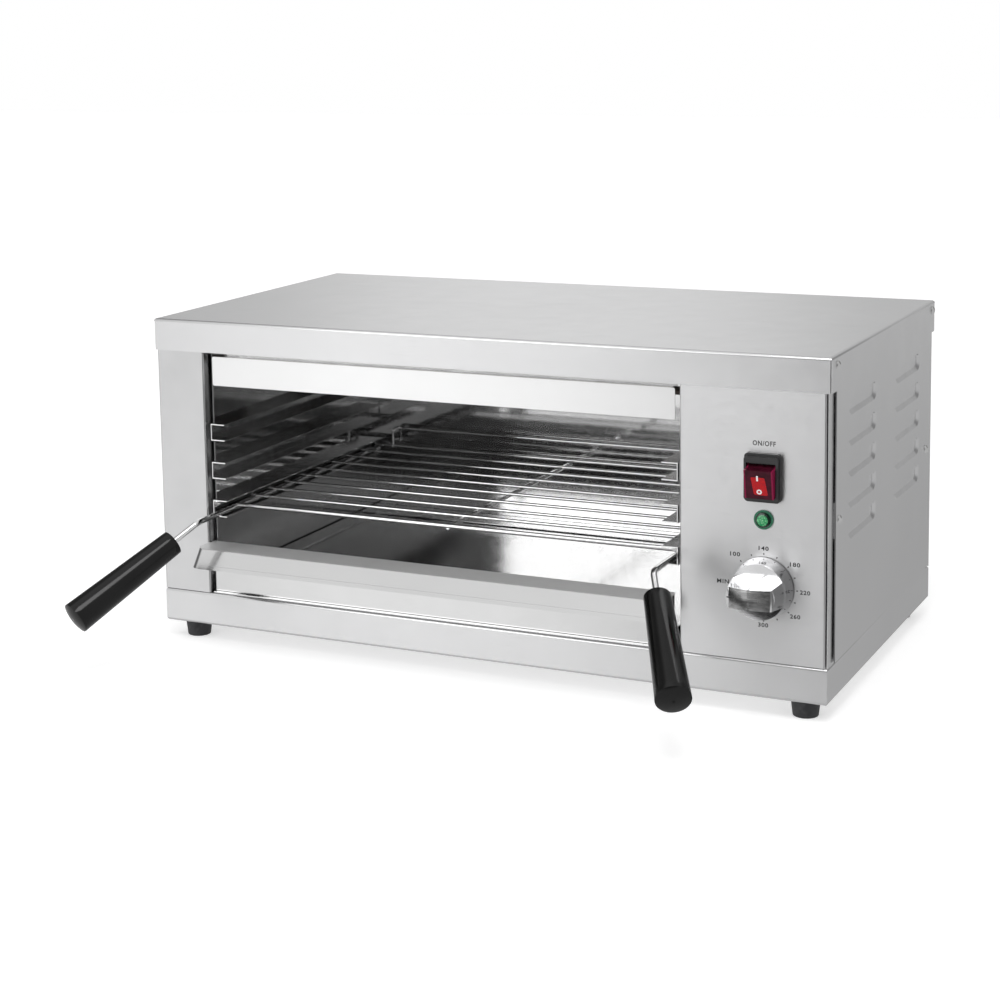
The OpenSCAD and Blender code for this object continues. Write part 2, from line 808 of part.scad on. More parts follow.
module guide_set() {
    for (i = [0 : guide_count - 1])
        translate([0, 0, guide_low_z + i * guide_pitch]) difference() {
            block([cavity_x0, guide_y0, 0], [cavity_x0 + guide_w, guide_y1, guide_h]);
            block([cavity_x0 + sheet, guide_y0 - over, sheet],
                [cavity_x0 + guide_w + over, guide_y1 + over, guide_h - sheet]);
        }
}

module left_rack_guides() {
    color(steel) in_frame() guide_set();
}

module right_rack_guides() {
    color(steel) in_frame()
        translate([2 * opening_mid, 0, 0]) mirror([1, 0, 0]) guide_set();
}

// ---------------------------------------------------------------- heating

// A hairpin rod element whose two legs leave through the right wall
module hairpin(y) {
    r = element_leg_gap / 2;
    x0 = element_x0 + r;
    l = cavity_x1 + element_out - x0;
    color(element_grey) in_frame() {
        for (s = [-1, 1])
            rod_x([x0, y + s * r, element_z], element_d, l);
        translate([x0, y, element_z]) rotate([0, 0, 90])
            rotate_extrude(angle = 180) translate([r, 0]) circle(d = element_d);
    }
}

module front_heating_element() {
    hairpin(element_y[0]);
}

module rear_heating_element() {
    hairpin(element_y[1]);
}

module element_brackets() {
    y0 = low_leg[0] - bracket_past;
    y1 = high_leg[1] + bracket_past;
    color(dark_steel) in_frame() for (x = bracket_x) difference() {
        union() {
            block([x, y0, ceiling_z - bracket_drop], [x + bracket_t, y1, ceiling_z]);
            block([x, y0, ceiling_z - bracket_t], [x + bracket_foot, y1, ceiling_z]);
        }
        for (y = concat(low_leg, high_leg))
            rod_x([x - over, y, element_z], element_d + 2 * slip, bracket_t + 2 * over);
    }
}

module element_terminals() {
    x = cavity_x1 + element_out;
    color(ceramic_white) in_frame() for (y = concat(low_leg, high_leg)) {
        rod_x([x, y, element_z], terminal_collar_d, terminal_collar_l);
        rod_x([x + terminal_collar_l - eps, y, element_z], terminal_pin_d,
            terminal_l - terminal_collar_l);
    }
}

module thermostat_bulb() {
    color(copper) in_frame() rod_y([bulb_x, bulb_y0, bulb_z], bulb_d, bulb_y1 - bulb_y0);
}

module capillary() {
    color(copper) in_frame() wire(capillary_route, capillary_d);
}

module bulb_clips() {
    color(dark_steel) in_frame() for (y = [bulb_y0 + clip_w, bulb_y1 - 2 * clip_w]) difference() {
        union() {
            rod_y([bulb_x, y, bulb_z], bulb_d + 2 * clip_t, clip_w);
            block([bulb_x - clip_t / 2, y, bulb_z + bulb_d / 2],
                [bulb_x + clip_w, y + clip_w, ceiling_z]);
        }
        rod_y([bulb_x, y - over, bulb_z], bulb_d, clip_w + 2 * over);
    }
}

// ---------------------------------------------------------------- controls

module thermostat() {
    color(dark_steel) in_frame() difference() {
        union() {
            block([control_mid - stat_w / 2, stat_y, dial_z - stat_h / 2],
                [control_mid + stat_w / 2, stat_y + stat_d, dial_z + stat_h / 2]);
            rod_y([control_mid, -knob_gap / 2, dial_z], 2 * bush_r, stat_y + 1);
        }
        rod_y([control_mid, -over, dial_z], 2 * (shaft_r + run), shaft_back_y + 1 + over);
        for (s = [-1, 1])
            rod_y([control_mid + s * stat_screw_x, stat_y - over, dial_z], 2 * stat_screw_r,
                stat_screw_sink + over);
    }
}

module thermostat_screws() {
    color(chrome) in_frame() for (s = [-1, 1])
        rod_y([control_mid + s * stat_screw_x, 0, dial_z], 2 * stat_screw_r,
            stat_y + stat_screw_sink - over);
}

module thermostat_shaft() {
    color(brass_yellow) in_frame()
        rod_y([control_mid, -knob_skirt - shaft_in_knob, dial_z], 2 * shaft_r,
            knob_skirt + shaft_in_knob + shaft_back_y);
}

// Section of the grip bar through its thickness: y forward, z across
module knob_flanks() {
    rotate([90, 0, 90]) translate([0, 0, -knob_d]) linear_extrude(2 * knob_d)
        polygon([
            [0, knob_d], [-knob_skirt, knob_d], [-knob_skirt, knob_bar_root / 2],
            [-knob_depth - over, knob_bar_tip / 2], [-knob_depth - over, -knob_bar_tip / 2],
            [-knob_skirt, -knob_bar_root / 2], [-knob_skirt, -knob_d], [0, -knob_d]]);
}

module knob() {
    body_l = knob_depth - knob_skirt;
    color(chrome) in_frame() translate([control_mid, 0, dial_z]) difference() {
        intersection() {
            union() {
                translate([0, -knob_gap, 0]) rotate([90, 0, 0])
                    cylinder(d1 = knob_d, d2 = knob_shoulder_d, h = knob_skirt - knob_gap);
                translate([0, -knob_skirt + eps, 0]) rotate([90, 0, 0])
                    cylinder(d1 = knob_shoulder_d, d2 = knob_bar_d, h = body_l);
            }
            knob_flanks();
            translate([0, knob_face_r - knob_depth, -knob_d])
                cylinder(r = knob_face_r, h = 2 * knob_d, $fn = 120);
        }
        rotate([90, 0, 0]) cylinder(r = shaft_r, h = knob_skirt + shaft_in_knob);
    }
}

module switch_housing() {
    body = [collar_w, collar_h] / 2 - [switch_body_inset, switch_body_inset];
    room_w = rocker_w + 2 * rocker_gap;
    color(black) in_frame() translate([control_mid, 0, 0]) difference() {
        translate([0, 0, switch_z]) {
            translate([-switch_w / 2, 0, -switch_h / 2]) rotate([90, 0, 0])
                linear_extrude(plinth_d) round_rect(switch_w, switch_h, plinth_r);
            translate([-collar_w / 2, 0, -collar_h / 2]) rotate([90, 0, 0])
                linear_extrude(collar_d) round_rect(collar_w, collar_h, collar_r);
            block([-body.x, -eps, -body.y], [body.x, switch_body_d, body.y]);
        }
        rod_x([-room_w / 2, pivot_y, pivot_z], 2 * (rocker_root_r + rocker_gap), room_w);
        block([-room_w / 2, -collar_d - over, pivot_z - cap_room],
            [room_w / 2, cap_room_y, pivot_z + cap_room]);
        rod_x([-room_w / 2 - pivot_pin_l, pivot_y, pivot_z], 2 * (pivot_pin_r + run),
            room_w + 2 * pivot_pin_l);
    }
}

module switch_rocker() {
    color(red_lens) in_frame() translate([control_mid, pivot_y, pivot_z])
        rotate([rocker_tilt, 0, 0]) {
            block([-rocker_w / 2, -rocker_reach, -rocker_half],
                [rocker_w / 2, rocker_cap - rocker_reach, rocker_half]);
            intersection() {
                rod_x([-rocker_w / 2, 0, 0], 2 * rocker_root_r, rocker_w);
                block([-rocker_w, rocker_cap - rocker_reach - eps, -rocker_root_r],
                    [rocker_w, 0, rocker_root_r]);
            }
            rod_x([-rocker_w / 2 - pivot_pin_l, 0, 0], 2 * pivot_pin_r,
                rocker_w + 2 * pivot_pin_l);
        }
}

module switch_blades() {
    color(brass_yellow) in_frame() for (x = [-blade_x, blade_x], z = [-blade_z, blade_z])
        block([control_mid + x - blade_t / 2, switch_body_d, switch_z + z - blade_w / 2],
            [control_mid + x + blade_t / 2, switch_body_d + blade_l, switch_z + z + blade_w / 2]);
}

module lamp_lens() {
    color(green_lens) in_frame() translate([control_mid, 0, lamp_z]) rotate([90, 0, 0]) {
        cylinder(d = lamp_d, h = lamp_flange);
        intersection() {
            cylinder(d = lamp_lens_d, h = lamp_flange + lamp_lens_h);
            translate([0, 0, lamp_flange + lamp_lens_h - lamp_dome_r])
                sphere(lamp_dome_r, $fn = 96);
        }
    }
}

module lamp_body() {
    color(black) in_frame() {
        rod_y([control_mid, 0, lamp_z], 2 * lamp_body_r, lamp_body_l);
        rod_y([control_mid, sheet, lamp_z], 2 * (lamp_body_r + sheet), lamp_nut_t);
        for (s = [-1, 1])
            translate([control_mid + s * lamp_pin_x - lamp_pin.x / 2, lamp_body_l - eps,
                lamp_z - lamp_pin.z / 2]) cube(lamp_pin);
    }
}

// ---------------------------------------------------------------- services

module cable_gland() {
    color(black) in_frame() difference() {
        union() {
            rod_y([gland_x, cabinet_d - sheet - gland_in, gland_z], 2 * gland_thread_r,
                gland_in + 2 * sheet);
            translate([gland_x, cabinet_d, gland_z]) rotate([-90, 0, 0])
                cylinder(r = gland_hex_r, h = gland_hex_t, $fn = 6);
            rod_y([gland_x, cabinet_d + gland_hex_t - eps, gland_z], 2 * gland_cap_r,
                gland_out - gland_hex_t + eps);
        }
        rod_y([gland_x, cabinet_d - gland_in - 2 * over, gland_z], 2 * gland_bore_r,
            gland_in + gland_out + 4 * over);
    }
}

module gland_nut() {
    y0 = cabinet_d - sheet - gland_nut_t;
    color(black) in_frame() difference() {
        translate([gland_x, y0, gland_z]) rotate([-90, 0, 0])
            cylinder(r = gland_hex_r, h = gland_nut_t, $fn = 6);
        rod_y([gland_x, y0 - over, gland_z], 2 * gland_thread_r, gland_nut_t + 2 * over);
    }
}

module terminal_block() {
    at = [block_x, block_y, deck_z];
    color(ceramic_white) in_frame() difference() {
        block(at, at + block_size);
        for (i = [0 : 2])
            translate([block_x + (i + 0.5) * block_pitch + 1, block_y + block_size.y / 2,
                block_hole_z]) cylinder(r = block_hole_r, h = block_size.z);
    }
}

module earth_stud() {
    color(brass_yellow) in_frame() {
        rod_y([stud_x, cabinet_d - sheet - stud_in, gland_z], stud_d,
            stud_in + sheet + stud_nut_t);
        for (y = [cabinet_d - sheet - stud_nut_t, cabinet_d])
            translate([stud_x, y, gland_z]) rotate([-90, 0, 0])
                cylinder(r = stud_nut_r, h = stud_nut_t, $fn = 6);
    }
}

module wiring() {
    color(wire_red) in_frame() for (route = wire_routes) wire(route, wire_d);
}

// ---------------------------------------------------------------- fasteners

module casing_screws() {
    color(chrome) in_frame() casing_screw_places() {
        cap_r = (pow(screw_head_r, 2) + pow(screw_head_h, 2)) / (2 * screw_head_h);
        translate([0, 0, -screw_l]) cylinder(r = screw_r, h = screw_l);
        intersection() {
            cylinder(r = screw_head_r + over, h = screw_head_h + over);
            translate([0, 0, screw_head_h - cap_r]) sphere(cap_r, $fn = 64);
        }
    }
}

module rear_screws() {
    color(chrome) in_frame() rear_screw_places() {
        translate([0, 0, -screw_l]) cylinder(r = screw_r, h = screw_l);
        cylinder(r = screw_head_r, h = screw_head_h);
    }
}

module rubber_feet() {
    color(rubber_black) in_frame() foot_places() difference() {
        translate([0, 0, -foot_h]) cylinder(d1 = foot_d2, d2 = foot_d1, h = foot_h);
        translate([0, 0, -foot_h - over])
            cylinder(r = foot_hollow_r, h = foot_hollow + over);
        translate([0, 0, -foot_h]) cylinder(r = foot_screw_r + foot_screw_clear, h = foot_h + over);
    }
}

module foot_screws() {
    color(dark_steel) in_frame() foot_places() {
        translate([0, 0, foot_hollow - foot_h])
            cylinder(r = foot_screw_r, h = foot_h + foot_screw_past - foot_hollow);
        translate([0, 0, foot_hollow - foot_head_h - foot_h])
            cylinder(r = foot_head_r, h = foot_head_h);
        translate([0, 0, sheet]) cylinder(r = foot_head_r, h = foot_nut_h, $fn = 6);
    }
}

// ---------------------------------------------------------------- rack

// Places its children where the left side rod bends, in the plane of its bend
module on_handle_plane() {
    translate([rod_x0, rack_front_y - handle_run, rack_z])
        rotate([0, 180 - handle_roll, 0]) children();
}

module handle_rod() {
    on_handle_plane()
        bent_rod(side_rod_d, rod_l, handle_bend_r, handle_turn, handle_stub + rod_in_grip);
}

module grip() {
    dome_r = (pow(grip_d2 / 2, 2) + pow(grip_dome, 2)) / (2 * grip_dome);
    on_handle_plane() after_bend(handle_bend_r, handle_turn)
        translate([0, -handle_stub, 0]) rotate([90, 0, 0]) difference() {
            intersection() {
                cylinder(d1 = grip_d1, d2 = grip_d2, h = grip_l);
                union() {
                    cylinder(r = dome_r - over, h = grip_l - dome_r);
                    translate([0, 0, grip_l - dome_r]) sphere(dome_r, $fn = 96);
                }
            }
            translate([0, 0, -over]) cylinder(r = rod_r, h = rod_in_grip + over);
        }
}

module to_right() {
    translate([2 * opening_mid, 0, 0]) mirror([1, 0, 0]) children();
}

module rack_left_rod() {
    color(chrome) in_frame() handle_rod();
}

module rack_right_rod() {
    color(chrome) in_frame() to_right() handle_rod();
}

module left_grip() {
    color(black) in_frame() grip();
}

module right_grip() {
    color(black) in_frame() to_right() grip();
}

module rack_front_rod() {
    color(chrome) in_frame()
        rod_x([rod_x0 + rod_r - weld, rack_front_y, front_rod_z], front_rod_d,
            rack_w - side_rod_d + 2 * weld);
}

module rack_cross_rods() {
    color(chrome) in_frame() for (i = [0 : cross_rod_count - 1])
        rod_x([rod_x0 - rod_r, cross_rod_y0 + i * cross_rod_pitch, cross_rod_z],
            cross_rod_d, rack_w + side_rod_d);
}

module rack_centre_rod() {
    y0 = rack_front_y + front_rod_d / 2 - weld;
    color(chrome) in_frame()
        rod_y([opening_mid, y0, centre_rod_z], front_rod_d,
            backstop_y + front_rod_d / 2 - y0);
}

module rack_backstop_bar() {
    half = backstop_half - backstop_bend - backstop_lead;
    color(chrome) in_frame() rod_x([opening_mid - half, backstop_y, backstop_z],
        cross_rod_d, 2 * half);
}

module rack_backstop_posts() {
    drop = backstop_z - cross_rod_z - backstop_bend - cross_rod_d / 2;
    color(chrome) in_frame() both_sides()
        translate([opening_mid - backstop_half + backstop_bend, backstop_y, backstop_z])
            rotate([0, 90, -90])
                bent_rod(cross_rod_d, backstop_lead, backstop_bend, 90, drop + weld);
}

// ---------------------------------------------------------------- crumb tray

module tray_pan() {
    x0 = tray_mid - tray_pan_w / 2;
    y0 = tray_y0 + sheet;
    size = [tray_pan_w, tray_back_y - y0, 2 * tray_wall_h];
    color(steel) in_frame() translate([x0, y0, tray_z]) difference() {
        folded_box(size, bend_r);
        translate([sheet, -over, sheet])
            folded_box(size + [-2 * sheet, over - sheet, 0], bend_r - sheet);
        block([-over, -over, tray_wall_h], size + [over, over, over]);
    }
}

// Front face of the lip at height z, inset by t
function lip_face(z, t) =
    t / cos(lip_lean) - lip_reach + hem_t + (z - lip_low_z) * tan(lip_lean);

// Side view of the lip, inset from its outer faces by t: y forward, z up
module lip_section(t) {
    nose_z = lip_top_z - lip_nose_r;
    foot = lip_low_z - t;
    polygon(concat(
        [[lip_back_y, lip_top_z - t]],
        arc([lip_face(nose_z, lip_nose_r), nose_z], lip_nose_r - t, 90, 180 - lip_lean),
        [[lip_face(foot, t), foot], [lip_back_y, foot]]));
}

// The lip as a solid, inset by t, with upright ends and corners folded along its face
module lip_solid(t) {
    x0 = tray_mid - lip_w / 2 + t;
    w = lip_w - 2 * t;
    intersection() {
        translate([x0, 0, 0]) rotate([90, 0, 90]) linear_extrude(w) lip_section(t);
        translate([x0, lip_face(lip_low_z, t), lip_low_z]) rotate([-lip_lean, 0, 0])
            translate([0, -lip_crease, -lip_h]) linear_extrude(4 * lip_h)
                round_rect(w, 2 * lip_reach, lip_corner_r - t);
    }
}

// A narrow band folded flat against the lower edge of the lip's face
module lip_hem() {
    l = lip_w - 2 * (lip_corner_r + hem_end);
    translate([tray_mid - l / 2, 0, 0]) rotate([90, 0, 90]) linear_extrude(l)
        polygon([for (p = [[-hem_t, 0], [-hem_t, hem_h], [eps, hem_h], [eps, 0]])
            [lip_face(lip_low_z + p[1], 0) + p[0], lip_low_z + p[1]]]);
}

module tray_front() {
    x0 = tray_mid - tray_front_w / 2;
    x1 = tray_mid + tray_front_w / 2;
    color(bright_steel) in_frame() {
        block([x0, tray_y0, tray_z], [x1, tray_y0 + sheet, lip_top_z]);
        block([x0, lip_back_y - eps, lip_top_z - sheet], [x1, tray_y0 + sheet, lip_top_z]);
        difference() {
            lip_solid(0);
            lip_solid(sheet);
        }
        lip_hem();
    }
}

// ---------------------------------------------------------------- assembly

base_pan();
cavity_floor();
cavity_left_wall();
cavity_right_wall();
cavity_back_wall();
cavity_ceiling();
insulation_blanket();
left_front_post();
right_front_post();
control_panel();
outer_casing();
rear_panel();
rear_posts();
heat_shield();
left_rack_guides();
right_rack_guides();
front_heating_element();
rear_heating_element();
element_brackets();
element_terminals();
thermostat();
thermostat_bulb();
capillary();
bulb_clips();
thermostat_screws();
switch_housing();
switch_blades();
lamp_lens();
lamp_body();
terminal_block();
wiring();
earth_stud();
cable_gland();
gland_nut();
rubber_feet();
foot_screws();
casing_screws();
rear_screws();
rack_left_rod();
rack_right_rod();
rack_front_rod();
rack_cross_rods();
rack_centre_rod();
rack_backstop_bar();
rack_backstop_posts();
left_grip();
right_grip();
tray_pan();
tray_front();
knob();
thermostat_shaft();
switch_rocker();
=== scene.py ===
import math

import bmesh
import bpy
from mathutils import Matrix, Vector


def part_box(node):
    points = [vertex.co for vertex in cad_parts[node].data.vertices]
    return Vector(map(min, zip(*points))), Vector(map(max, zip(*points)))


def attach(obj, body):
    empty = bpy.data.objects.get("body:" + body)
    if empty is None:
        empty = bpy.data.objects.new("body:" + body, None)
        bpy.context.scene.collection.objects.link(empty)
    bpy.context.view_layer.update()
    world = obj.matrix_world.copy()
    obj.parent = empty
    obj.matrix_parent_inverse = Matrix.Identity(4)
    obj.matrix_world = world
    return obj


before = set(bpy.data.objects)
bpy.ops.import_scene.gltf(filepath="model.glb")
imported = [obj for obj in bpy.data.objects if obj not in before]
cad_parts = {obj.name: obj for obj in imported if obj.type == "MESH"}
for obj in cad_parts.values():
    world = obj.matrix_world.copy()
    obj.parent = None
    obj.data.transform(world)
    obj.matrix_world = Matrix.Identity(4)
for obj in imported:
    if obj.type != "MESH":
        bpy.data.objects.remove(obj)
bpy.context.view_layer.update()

# ------------------------------------------------------------------ places
# Cabinet coordinates, in millimetres: x from the left of the base pan seen
# from the front, y from its front face towards the back, z from its underside.

MM = 0.001
BASE_LO, BASE_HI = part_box("base_pan")


def at(x, y, z):
    return Vector((BASE_LO.x + x * MM, BASE_LO.y + y * MM, BASE_LO.z + z * MM))


def middle(node):
    """The centre of a node's box."""
    lo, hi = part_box(node)
    return (lo + hi) / 2


def millimetres(v):
    """A point of the frame in cabinet coordinates."""
    return (v - BASE_LO) / MM


CONTROL_X = millimetres(middle("switch_housing")).x
DIAL_Z = millimetres(middle("knob")).z
KNOB_FACE_Y = millimetres(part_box("knob")[0]).y
KNOB_FACE_R = 46        # radius of the knob's curved face
ROCKER_PIVOT = (CONTROL_X, -1, 177.1)
ROCKER_REACH = 13.5     # pivot to the rocker's face
ROCKER_TILT = 10        # degrees off level when the switch is off

# ------------------------------------------------------------------ node trees


class Tree:
    """Short ways to add nodes to a node tree."""

    def __init__(self, tree):
        self.tree = tree

    def node(self, kind, inputs=(), **values):
        """A new node; inputs are its first sockets in order, numbers or links, None to skip."""
        made = self.tree.nodes.new(kind)
        for name, value in values.items():
            setattr(made, name, value)
        for socket, value in zip(made.inputs, inputs):
            if isinstance(value, bpy.types.NodeSocket):
                self.link(value, socket)
            elif value is not None:
                socket.default_value = value
        return made

    def link(self, a, b):
        self.tree.links.new(a, b)

    def math(self, operation, a, b=None):
        return self.node("ShaderNodeMath", (a, b), operation=operation).outputs[0]

    def scale(self, value, low, high, first, last, smooth=False):
        """Maps value from low..high to numbers first..last."""
        kind = "SMOOTHSTEP" if smooth else "LINEAR"
        made = self.node("ShaderNodeMapRange", (value, low, high, first, last), interpolation_type=kind)
        return made.outputs["Result"]

    def mix(self, value, one, other):
        """A colour between one and other by value."""
        made = self.node("ShaderNodeMix", data_type="RGBA")
        for socket, source in ((made.inputs[0], value), (made.inputs[6], one), (made.inputs[7], other)):
            if isinstance(source, bpy.types.NodeSocket):
                self.link(source, socket)
            else:
                socket.default_value = source if isinstance(source, float) else (*source, 1)
        return made.outputs[2]


class Shader(Tree):
    """A material's node tree with a Principled BSDF."""

    def __init__(self, name, **values):
        self.material = bpy.data.materials.new(name)
        self.material.use_nodes = True
        super().__init__(self.material.node_tree)
        self.bsdf = self.tree.nodes["Principled BSDF"]
        for socket, value in values.items():
            self.socket(socket).default_value = value

    def socket(self, name):
        return self.bsdf.inputs[name.replace("_", " ")]

    def colour(self, source):
        self.link(source, self.socket("Base_Color"))

    def roughness(self, source):
        self.link(source, self.socket("Roughness"))

    def place(self, stretch=(1, 1, 1)):
        """Object coordinates in metres, stretched."""
        coords = self.node("ShaderNodeTexCoord").outputs["Object"]
        mapping = self.node("ShaderNodeMapping", (coords,))
        mapping.inputs["Scale"].default_value = stretch
        return mapping.outputs["Vector"]

    def facing(self, axis):
        """How far the surface faces along an axis, 0 to 2 for x, y and z."""
        normal = self.node("ShaderNodeNewGeometry").outputs["Normal"]
        return self.node("ShaderNodeSeparateXYZ", (normal,)).outputs[axis]

    def noise(self, scale, detail=3.0, roughness=0.5, stretch=(1, 1, 1)):
        made = self.node("ShaderNodeTexNoise")
        made.inputs["Scale"].default_value = scale
        made.inputs["Detail"].default_value = detail
        made.inputs["Roughness"].default_value = roughness
        self.link(self.place(stretch), made.inputs["Vector"])
        return made.outputs["Fac"]

    def away_from(self, point, stretch=(1, 1, 1)):
        """Distance from a point, in metres, with each axis weighed."""
        moved = self.node("ShaderNodeVectorMath", (self.place(), tuple(point)), operation="SUBTRACT")
        weighed = self.node("ShaderNodeVectorMath", (moved.outputs[0], stretch), operation="MULTIPLY")
        return self.node("ShaderNodeVectorMath", (weighed.outputs[0],), operation="LENGTH").outputs["Value"]

    def bump(self, height, strength, distance):
        made = self.node("ShaderNodeBump")
        made.inputs["Strength"].default_value = strength
        made.inputs["Distance"].default_value = distance
        self.link(height, made.inputs["Height"])
        before = self.socket("Normal")
        if before.is_linked:
            self.link(before.links[0].from_socket, made.inputs["Normal"])
        self.link(made.outputs["Normal"], before)


# ------------------------------------------------------------------ materials

ALONG = {"x": (0.012, 1, 1), "y": (1, 0.012, 1), "z": (1, 1, 0.012)}
# Highlights spread across the grain: up and down where it runs along x, sideways on the uprights
ACROSS_FOLDED = (0, 1, 0.01)
ACROSS_UPRIGHT = (1, 0.01, 0)


def tinted(colour, factor):
    return tuple(min(1, c * factor) for c in colour)


def brushed_steel(name, tone, rough=0.2, depth=1.0, upright=False, top_rough=None):
    """Stainless sheet brushed along its length. On faces that look sideways the grain runs
    upright, as it does where a sheet is folded down over its end. Faces that look up may
    have a roughness of their own."""
    made = Shader(name, Metallic=1.0, Anisotropic=0.8)
    tangent = made.node("ShaderNodeCombineXYZ", ACROSS_UPRIGHT if upright else ACROSS_FOLDED)
    made.link(tangent.outputs[0], made.socket("Tangent"))
    upright_grain = made.noise(2600, 2.0, 0.6, ALONG["z"])
    grain = upright_grain
    if not upright:
        sideways = made.scale(made.math("ABSOLUTE", made.facing(0)), 0.6, 0.8, 0.0, 1.0)
        grain = made.mix(sideways, made.noise(2600, 2.0, 0.6, ALONG["x"]), upright_grain)
    clouds = made.scale(made.noise(7, 3.0, 0.5), 0.3, 0.7, 0.0, 1.0)
    made.colour(made.mix(clouds, tinted(tone, 0.965), tone))
    wear = made.scale(made.noise(38, 4.0, 0.6), 0.3, 0.7, rough * 0.92, rough * 1.1)
    if top_rough is not None:
        upward = made.scale(made.facing(2), 0.75, 0.95, 0.0, 1.0)
        more = made.math("MULTIPLY", upward, top_rough - rough)
        wear = made.math("ADD", wear, more)
    made.roughness(wear)
    made.bump(grain, 0.14 * depth, 0.00005)
    return made.material


def polished_steel(name, tone, rough=0.1, waviness=1.0):
    """Bright rolled sheet: nearly a mirror, gently uneven."""
    made = Shader(name, Metallic=1.0)
    marks = made.noise(120, 5.0, 0.7)
    made.colour(made.mix(made.scale(marks, 0.35, 0.7, 0.0, 1.0), tinted(tone, 0.93), tone))
    made.roughness(made.scale(marks, 0.3, 0.75, rough * 0.75, rough * 1.4))
    made.bump(made.noise(7, 2.0, 0.4), 0.10 * waviness, 0.004)
    made.bump(made.noise(900, 2.0, 0.6, ALONG["x"]), 0.05, 0.00005)
    return made.material


def chrome(name, tone=(0.82, 0.82, 0.83), rough=0.08):
    """Plated wire or a polished fitting."""
    made = Shader(name, Metallic=1.0)
    mottle = made.noise(260, 4.0, 0.6)
    made.colour(made.mix(made.scale(mottle, 0.3, 0.7, 0.0, 1.0), tinted(tone, 0.88), tone))
    made.roughness(made.scale(mottle, 0.25, 0.75, rough * 0.7, rough * 1.5))
    made.bump(made.noise(420, 3.0, 0.5), 0.08, 0.00012)
    return made.material


def knob_metal(name):
    """Die-cast knob, plated and finely brushed along its bar; its front face is darker by a painted dark
    reflection.
    """
    made = Shader(name, Metallic=1.0, Anisotropic=0.4)
    tangent = made.node("ShaderNodeCombineXYZ", ACROSS_FOLDED)
    made.link(tangent.outputs[0], made.socket("Tangent"))
    soft = made.noise(60, 3.0, 0.5)
    shine = (0.86, 0.86, 0.87)
    plated = made.mix(made.scale(soft, 0.3, 0.7, 0.0, 1.0), tinted(shine, 0.93), shine)
    # painted dark reflection: faces on the bar that look straight forward are darkened to grey, streaked
    # along the brushing
    forward = made.scale(made.facing(1), -0.92, -0.88, 1.0, 0.0)
    ahead = made.node("ShaderNodeSeparateXYZ", (made.place(),)).outputs[1]
    on_bar = made.scale(ahead, at(0, KNOB_FACE_Y + 6, 0).y, at(0, KNOB_FACE_Y + 10, 0).y, 1.0, 0.0)
    streaks = made.scale(made.noise(500, 4.0, 0.7, ALONG["x"]), 0.35, 0.65, 0.0, 1.0)
    painted_dark_reflection = made.mix(streaks, (0.24, 0.24, 0.24), (0.5, 0.5, 0.5))
    face = made.math("MULTIPLY", forward, on_bar)
    made.colour(made.mix(face, plated, painted_dark_reflection))
    plated_rough = made.scale(soft, 0.3, 0.7, 0.07, 0.12)
    made.roughness(made.math("ADD", plated_rough, made.math("MULTIPLY", face, 0.16)))
    made.bump(made.noise(1500, 3.0, 0.7, ALONG["x"]), 0.22, 0.00006)
    return made.material


def plastic(name, colour, rough, grain_scale=900.0, grain_depth=0.06, shine=0.5):
    """Moulded plastic with a fine tool texture and slight sink marks."""
    made = Shader(name, Specular_IOR_Level=shine, IOR=1.5)
    light = tuple(c * 1.25 + 0.002 for c in colour)
    made.colour(made.mix(made.scale(made.noise(35, 3.0, 0.5), 0.3, 0.7, 0.0, 1.0), colour, light))
    made.roughness(made.scale(made.noise(150, 4.0, 0.6), 0.3, 0.7, rough * 0.82, rough * 1.2))
    made.bump(made.noise(grain_scale, 2.0, 0.5), grain_depth, 0.00008)
    made.bump(made.noise(22, 2.0, 0.4), 0.05, 0.001)
    return made.material


def rubber(name):
    """Dull moulded rubber with a dusty bloom."""
    made = Shader(name, IOR=1.5)
    dust = made.noise(180, 6.0, 0.7)
    made.colour(made.mix(made.scale(dust, 0.42, 0.75, 0.0, 1.0), (0.03, 0.03, 0.033), (0.07, 0.07, 0.073)))
    made.roughness(made.scale(dust, 0.3, 0.7, 0.5, 0.72))
    made.bump(made.noise(1300, 3.0, 0.6), 0.25, 0.00015)
    return made.material


def rocker_plastic(name, centre):
    """Smoke-red clear plastic whose upright edges carry a painted magenta highlight."""
    made = Shader(name, IOR=1.3, Specular_IOR_Level=0.35)
    depth = made.scale(made.noise(150, 3.0, 0.5), 0.3, 0.7, 0.0, 1.0)
    body = made.mix(depth, (0.03, 0.004, 0.008), (0.075, 0.006, 0.02))
    # painted highlight: towards its left and right edges the rocker turns a lighter magenta
    painted_edge_highlight = made.scale(made.away_from(centre, (1, 0, 0)), 9.8 * MM, 11.2 * MM, 0.0, 1.0, True)
    made.colour(made.mix(painted_edge_highlight, body, (0.27, 0.012, 0.06)))
    made.roughness(made.scale(depth, 0.0, 1.0, 0.07, 0.14))
    made.bump(made.noise(500, 2.0, 0.5), 0.05, 0.0001)
    return made.material


def window_plastic(name):
    """Bright red translucent insert with a faint prism pattern."""
    made = Shader(name, IOR=1.3, Specular_IOR_Level=0.35)
    prisms = made.node("ShaderNodeTexVoronoi", (made.place(),))
    prisms.inputs["Scale"].default_value = 900
    shade = made.scale(prisms.outputs["Distance"], 0.1, 0.7, 0.0, 1.0)
    made.colour(made.mix(shade, (0.62, 0.022, 0.022), (0.42, 0.012, 0.02)))
    made.roughness(made.scale(shade, 0.0, 1.0, 0.16, 0.3))
    made.bump(shade, 0.12, 0.0001)
    return made.material


